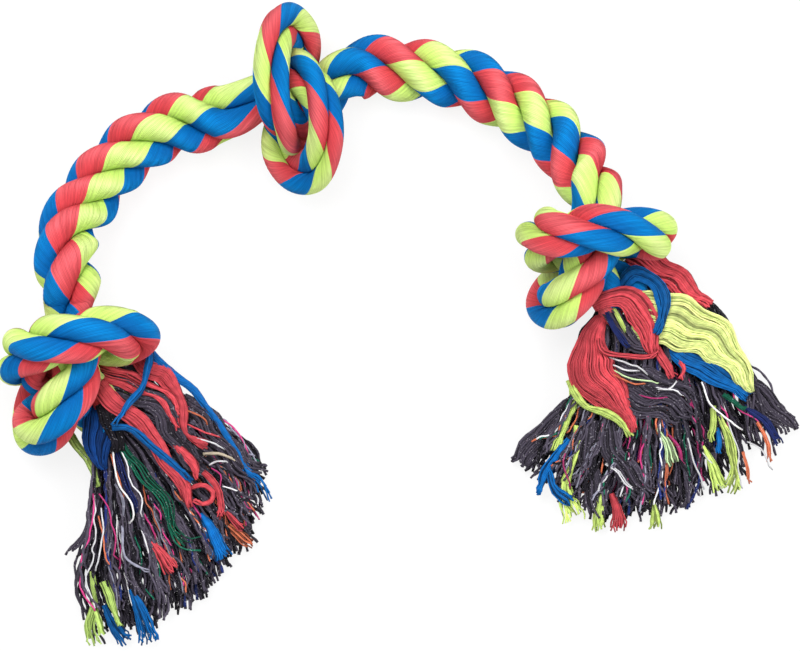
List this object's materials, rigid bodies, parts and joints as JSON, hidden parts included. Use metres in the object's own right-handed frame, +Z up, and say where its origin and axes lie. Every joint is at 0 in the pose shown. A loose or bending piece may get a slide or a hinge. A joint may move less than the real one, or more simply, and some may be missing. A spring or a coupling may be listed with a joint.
{
  "type": "rope dog toy",
  "caption": "Thick twisted cotton rope dog toy tied in overhand knots, both ends frayed into tassels, lying flat in an open arch.",
  "frame": {"origin": "on the ground, under the middle of the toy's length and width as it lies", "axes": "+X along the toy from the left knot to the right knot, +Y across it towards the middle knot, +Z up from the ground"},
  "size_m": [0.3136, 0.256, 0.0654],
  "materials": {
    "rope_cover_yarn": "matt cotton yarn in smooth bands of red, lime green and blue over a charcoal core",
    "charcoal_yarn": "matt cotton yarn, dark charcoal flecked with other colours",
    "red_yarn": "matt cotton yarn, wavy",
    "lime_yarn": "matt cotton yarn, wavy",
    "blue_yarn": "matt cotton yarn, wavy"
  },
  "bodies": {
    "middle": {"middle_knot_strand_1": "rope_cover_yarn", "middle_knot_strand_2": "rope_cover_yarn", "middle_knot_strand_3": "rope_cover_yarn"},
    "left": {"left_knot_strand_1": "rope_cover_yarn", "left_knot_strand_2": "rope_cover_yarn", "left_knot_strand_3": "rope_cover_yarn"},
    "right": {"right_knot_strand_1": "rope_cover_yarn", "right_knot_strand_2": "rope_cover_yarn", "right_knot_strand_3": "rope_cover_yarn"},
    "left_tassel": {"left_tassel_lock_01": "charcoal_yarn", "left_tassel_lock_02": "lime_yarn", "left_tassel_lock_03": "charcoal_yarn", "left_tassel_lock_04": "charcoal_yarn", "left_tassel_lock_05": "blue_yarn", "left_tassel_lock_06": "charcoal_yarn", "left_tassel_lock_07": "blue_yarn", "left_tassel_lock_08": "charcoal_yarn", "left_tassel_lock_09": "charcoal_yarn", "left_tassel_lock_10": "red_yarn", "left_tassel_lock_11": "charcoal_yarn", "left_tassel_lock_12": "red_yarn"},
    "right_tassel": {"right_tassel_lock_01": "charcoal_yarn", "right_tassel_lock_02": "blue_yarn", "right_tassel_lock_03": "charcoal_yarn", "right_tassel_lock_04": "charcoal_yarn", "right_tassel_lock_05": "lime_yarn", "right_tassel_lock_06": "charcoal_yarn", "right_tassel_lock_07": "charcoal_yarn", "right_tassel_lock_08": "red_yarn", "right_tassel_lock_09": "charcoal_yarn", "right_tassel_lock_10": "red_yarn", "right_tassel_lock_11": "lime_yarn", "right_tassel_lock_12": "lime_yarn"}
  },
  "joints": [
    {"name": "left_arm_bend", "type": "hinge", "parent": "middle", "child": "left", "pos_m": [-0.10944, 0.06587, 0.01508], "axis": [0, 0, 1], "range_deg": [-40, 15]},
    {"name": "right_arm_bend", "type": "hinge", "parent": "middle", "child": "right", "pos_m": [0.02618, 0.09915, 0.01456], "axis": [0, 0, 1], "range_deg": [-15, 40]},
    {"name": "left_tassel_swing", "type": "hinge", "parent": "left", "child": "left_tassel", "pos_m": [-0.11256, -0.03709, 0.01768], "axis": [0, 0, 1], "range_deg": [-10, 10]},
    {"name": "right_tassel_swing", "type": "hinge", "parent": "right", "child": "right_tassel", "pos_m": [0.0944, 0.00773, 0.01768], "axis": [0, 0, 1], "range_deg": [-10, 10]}
  ]
}
